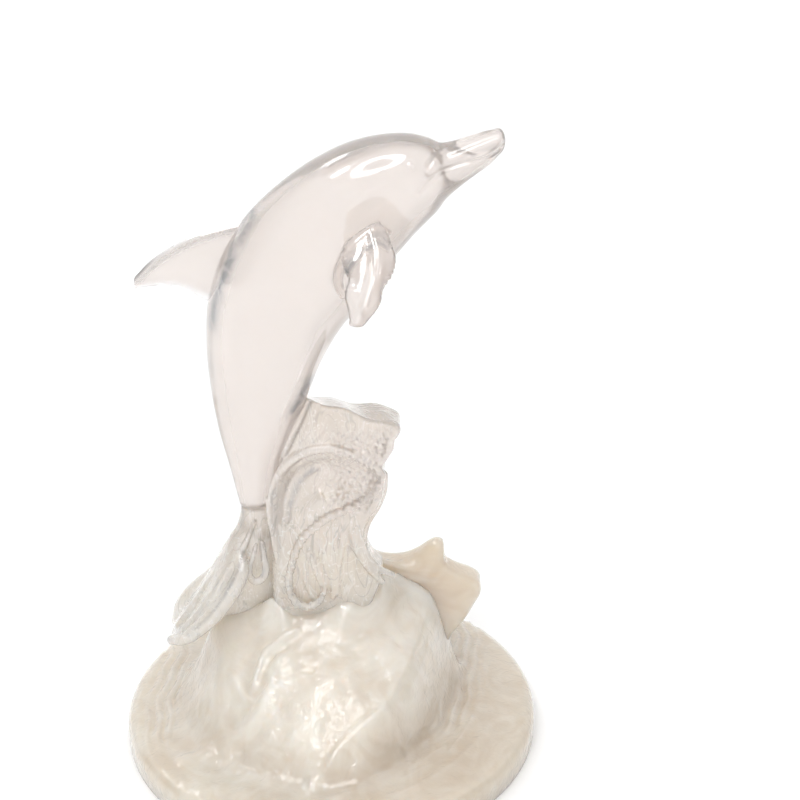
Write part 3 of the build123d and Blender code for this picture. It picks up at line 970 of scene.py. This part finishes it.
RIM_HEIGHT = 7.0
POOL_CROWN = 10.5
RECESS_RADIUS = 44.0
RECESS_DEPTH = 0.8
SWELL_TOP = 40.0  # height of the mound's top over the foot's underside, before the folds
SWELL_BOW = 0.010  # how the outlines of the mound bend
SWELL_FILLET = 2.5
RIDGE_Y, FRONT_Y, BACK_Y = 3.5, -32, 24  # its highest line, and where its slopes end
SHOULDER_X = 27.5  # where its steep right wall starts, at the back
LEFT_X = -35.5  # where the ripples left of it start
FOLDS = [  # folds of the water seen from above: height, half width, then x, y along each
    (1.1, 1.1, [(27.2, 3.4), (26.6, 0.8), (26, -1.8), (24.8, -5.6), (23.4, -9.8), (21.8, -14),
                (19.8, -18.6)]),
    (1, 0.8, [(-17.6, -17.4), (-16.7, -14.8), (-15.4, -12.7), (-13.1, -11.6), (-10.5, -10.7),
                (-7.6, -9.8)]),
    (-0.7, 0.9, [(-15.8, -16.8), (-14.4, -14.2), (-12.4, -12.8), (-10.4, -12.2)]),
    (0.5, 2, [(-11.6, -15.2), (-9.1, -15.4), (-6.2, -16)]),
    (-0.6, 0.8, [(-12.2, -18.6), (-9.8, -18.4), (-7, -18), (-3.6, -18.2)]),
    (0.8, 3, [(17, -9.6), (9.5, -16), (4, -20), (-1.2, -23.5), (-4.2, -27), (-7.6, -31),
                (-11.5, -34.5)]),
    (-0.5, 2.4, [(13, -19), (7, -22.5), (2.6, -26), (0.6, -30)]),
    (0.9, 1.8, [(-11.2, -18.2), (-13.5, -20.2), (-16.6, -22.6), (-22, -24.2), (-28.5, -25.4),
                (-34, -27)]),
    (-0.5, 1.6, [(-10, -22), (-14, -25), (-19.6, -27.5)]),
    (0.8, 1.5, [(15.8, -25), (10.4, -28.6), (5, -32.5), (-3, -37)]),
    (0.4, 1.2, [(27, -24), (19, -31.5), (9, -38), (-3, -42)]),
    (0.35, 1.2, [(37, -18), (31, -27), (22, -36), (10, -43)]),
    (0.5, 1, [(0, 2), (8, 3.2), (15, 3.4), (21, 3.8), (26, 4)]),
    (-0.5, 1.3, [(3.6, -12.9), (7, -10.8), (11, -9.2), (15, -8.8), (17, -10.8)]),
    (0.5, 1.4, [(4, -3), (5.6, -7), (3, -11)]),
    (3.4, 3.2, [(3.6, -6.9), (7, -6.5), (11, -4.4), (13.6, 0.4)]),
    (2.6, 2.2, [(-14.4, -5.8), (-12.6, -6.8), (-11.4, -7.2)]),
    (0.7, 1, [(14, -25.2), (9.4, -28.3), (5, -31), (2.2, -33.4), (1, -35)]),
    (-0.5, 0.9, [(13.8, -27.6), (9.4, -30.4), (6.2, -33.2)]),
    (0.7, 1, [(17.2, -28.3), (13.5, -31), (9.6, -33.6), (6.6, -35.4)]),
    (0.4, 0.7, [(18.9, -29.6), (14.7, -33), (11, -35.5)]),
    (0.45, 0.8, [(-15.6, -14.8), (-13.4, -18.5), (-15.2, -20.8), (-17.5, -21.9)]),
    (0.45, 0.8, [(-22.9, -13.9), (-20.7, -17.6), (-17.6, -20.2)]),
    (0.4, 0.8, [(24, -29.8), (20.5, -32.7), (17, -35.1)]),
    (0.4, 0.8, [(34.5, -11.9), (31.8, -18.6), (28.8, -24.9)]),
    (5, 3.6, [(10, 6), (15, 6.4), (20, 6.8), (24, 7.2), (28, 7.6)]),
    (2.4, 2.6, [(-29, 0), (-24, -3.4), (-18, -4.6), (-13, -4.6)]),
]
RIPPLE_LENGTH = 2.7
RIPPLE_HEIGHT = 0.38
PLAN_STEP = 0.3  # of the height map, and how far it goes past the foot
PLAN_SPARE = 4
BASE_CELL = 0.56


def water_height(x, y):
    """Height of the water over the plan point: a domed pool, the mound rising from it, and the folds."""
    shape = x.shape
    x, y = x.ravel(), y.ravel()
    pool = RIM_HEIGHT + (POOL_CROWN - RIM_HEIGHT) * (1 - (x * x + y * y) / FOOT_RADIUS**2)
    bow = SWELL_BOW * (x + 2) ** 2
    top = SWELL_TOP - 1.25 * bow
    front, back = SWELL_BOW * (x - 6) ** 2 + FRONT_Y, BACK_Y - bow
    share = np.where(y < RIDGE_Y, (RIDGE_Y - y) / (RIDGE_Y - front), (y - RIDGE_Y) / (back - RIDGE_Y))
    wall = SHOULDER_X - 0.3 * np.maximum(3 - y, 0) - 0.012 * np.maximum(-8 - y, 0) ** 2
    flanks = ramp(x, wall + 7.0, wall - 3.5) * ramp(x, -42, -24)
    share = np.clip(np.hypot(share, 0.15) - 0.15, 0, 1.2)
    steep = 0.18 * ramp(x, -24, -4)
    rise = (top - pool) * (1 - (1 - steep) * share - steep * share**7) * flanks - 1.2 * (1 - flanks)
    height = pool + 0.5 * (rise + np.hypot(rise, SWELL_FILLET)) - 0.25 * SWELL_FILLET
    plan = np.stack([x, y], 1)
    for rise, width, path in FOLDS:
        path = spline(path, 5 * len(path), slice(0, 2))
        height += rise * np.exp(-((path_distance(plan, path) / width) ** 2))
    for side in (1, -1):
        beyond = (x - wall) if side == 1 else (LEFT_X - x)
        bend = beyond + 1.2 * np.sin(0.16 * y + side) + 0.5 * np.sin(0.45 * y)
        fade = ramp(beyond, 1.0, 3.0) * ramp(beyond, 15, 5) * ramp(y, -26, -12)
        height += RIPPLE_HEIGHT * np.sin(2 * math.pi * bend / RIPPLE_LENGTH) * fade
    height += 0.35 * np.sin(0.31 * x + 0.22 * y) * np.sin(0.27 * y - 0.12 * x + 1.0) * flanks
    height += 0.16 * np.sin(0.85 * x - 0.5 * y + 1.2 * np.sin(0.3 * y)) * np.sin(0.7 * y + 0.35 * x) * flanks
    return height.reshape(shape)


def make_base():
    side = np.arange(-FOOT_RADIUS - PLAN_SPARE, FOOT_RADIUS + PLAN_SPARE, PLAN_STEP)
    heights = water_height(*np.meshgrid(side, side, indexing="ij"))
    slope_x, slope_y = np.gradient(heights, PLAN_STEP)
    steepness = np.sqrt(1 + slope_x**2 + slope_y**2)

    def look_up(table, x, y):
        """The table's value at each plan point, linear between its own points."""
        u = np.clip((x - side[0]) / PLAN_STEP, 0, len(side) - 1.001)
        v = np.clip((y - side[0]) / PLAN_STEP, 0, len(side) - 1.001)
        i, j = u.astype(int), v.astype(int)
        u, v = u - i, v - j
        near = table[i, j] * (1 - u) + table[i + 1, j] * u
        far = table[i, j + 1] * (1 - u) + table[i + 1, j + 1] * u
        return near * (1 - v) + far * v

    def field(points):
        x, y, z = points.T
        r = np.hypot(x, y)
        water = (z - look_up(heights, x, y)) / look_up(steepness, x, y)
        d = -melt(-water, FOOT_RADIUS - r, 3.2)
        d = -melt(-d, z, 0.8)
        return carve(d, np.maximum(r - RECESS_RADIUS, z - RECESS_DEPTH), 0.3)

    low, high = node_box("wave_base")
    vertices, faces = sculpt(field, low - 1, high + 2, BASE_CELL)
    x, z = vertices[:, 0], vertices[:, 2]
    warmth = 0.12 + 0.16 * ramp(x, -10, 36) + 0.30 * ramp(z, 20, 9)
    new_piece("wave_base", vertices, faces, crystal, 1.0, warmth)


make_body()
make_fin()
make_flippers()
make_tail()
make_crest()
make_rear_wave()
make_base()

# ------------------------------------------------------------
# Floor, light and camera

FLOOR_HALF = 3
STUDIO_LEVEL = 0.97
SIDE_SHADE = 0.85  # how much darker the studio is to the left and right than ahead
FLAG_START, FLAG_END = 0.70, 0.94  # sideways share of a direction where that shade sets in
RING_TOWARDS = (-0.09, -0.55, 0.83)  # a ring lamp over the camera
RING_ANGLES = (9, 16)
SPOT_TOWARDS = (-0.52, 0.30, 0.80)  # and a small round one behind the figurine, to its left
SPOT_ANGLES = (0, 6)
LAMP_LEVEL = 5.5
KEY_PLACE, KEY_AIM = (-0.35, -0.25, 0.75), (0, 0, 0.07)
KEY_SIZE, KEY_POWER = 0.12, 0.4
CAMERA_PLACE = (0.017, -0.313, 0.229)
CAMERA_TILT = 24.2  # degrees below the horizon
CAMERA_LENS, CAMERA_SENSOR = 67.5, 36


def ring_of_light(tree, direction, towards, angles):
    """1 inside a ring round a direction of the sky, 0 elsewhere."""
    closeness = node(tree, "ShaderNodeVectorMath", operation="DOT_PRODUCT")
    feed(tree, closeness.inputs[0], direction)
    feed(tree, closeness.inputs[1], Vector(towards).normalized())
    closeness = closeness.outputs["Value"]
    inner, outer = (math.cos(math.radians(angle)) for angle in angles)
    within = combine(tree, "GREATER_THAN", closeness, outer)
    return combine(tree, "MULTIPLY", within, combine(tree, "LESS_THAN", closeness, inner))


def studio_world():
    """An even white studio with darker sides, which draw the thin grey lines along clear edges."""
    world = bpy.data.worlds.new("studio")
    world.use_nodes = True
    tree = world.node_tree
    direction = node(tree, "ShaderNodeTexCoord").outputs["Generated"]
    parts = node(tree, "ShaderNodeSeparateXYZ", Vector=direction)
    total = node(
        tree, "ShaderNodeMapRange", Value=combine(tree, "ABSOLUTE", parts.outputs["X"]),
        interpolation_type="SMOOTHSTEP", From_Min=FLAG_START, From_Max=FLAG_END,
        To_Min=STUDIO_LEVEL, To_Max=STUDIO_LEVEL * (1 - SIDE_SHADE),
    ).outputs["Result"]
    for towards, angles in ((RING_TOWARDS, RING_ANGLES), (SPOT_TOWARDS, SPOT_ANGLES)):
        lamp = mix_value(tree, ring_of_light(tree, direction, towards, angles), 0.0, LAMP_LEVEL)
        total = combine(tree, "ADD", total, lamp)
    seen = node(tree, "ShaderNodeLightPath").outputs["Is Camera Ray"]
    total = combine(tree, "MAXIMUM", total, seen)  # behind the floor the camera sees plain white
    background = tree.nodes["Background"]
    feed(tree, background.inputs["Strength"], total)
    background.inputs["Color"].default_value = (1, 1, 1, 1)
    return world


def place_object(name, data, place):
    """A new object of the scene."""
    thing = bpy.data.objects.new(name, data)
    thing.location = place
    bpy.context.scene.collection.objects.link(thing)
    return thing


floor_mesh = bpy.data.meshes.new("floor")
floor_corners = [(x * FLOOR_HALF, y * FLOOR_HALF, 0) for x, y in ((-1, -1), (1, -1), (1, 1), (-1, 1))]
floor_mesh.from_pydata(floor_corners, [], [(0, 1, 2, 3)])
floor_mesh.materials.append(paper_material())
place_object("floor", floor_mesh, (0, 0, 0))

bpy.context.scene.world = studio_world()
bpy.context.scene.view_settings.view_transform = "Standard"

key_light = bpy.data.lights.new("key", "AREA")
key_light.shape = "DISK"
key_light.size = KEY_SIZE
key_light.energy = KEY_POWER
key_lamp = place_object("key", key_light, KEY_PLACE)
key_lamp.rotation_euler = (Vector(KEY_AIM) - Vector(KEY_PLACE)).to_track_quat("-Z", "Y").to_euler()

camera_data = bpy.data.cameras.new("camera")
camera_data.lens = CAMERA_LENS
camera_data.sensor_width = CAMERA_SENSOR
camera = place_object("camera", camera_data, CAMERA_PLACE)
camera.rotation_euler = (math.radians(90 - CAMERA_TILT), 0, 0)
bpy.context.scene.camera = camera
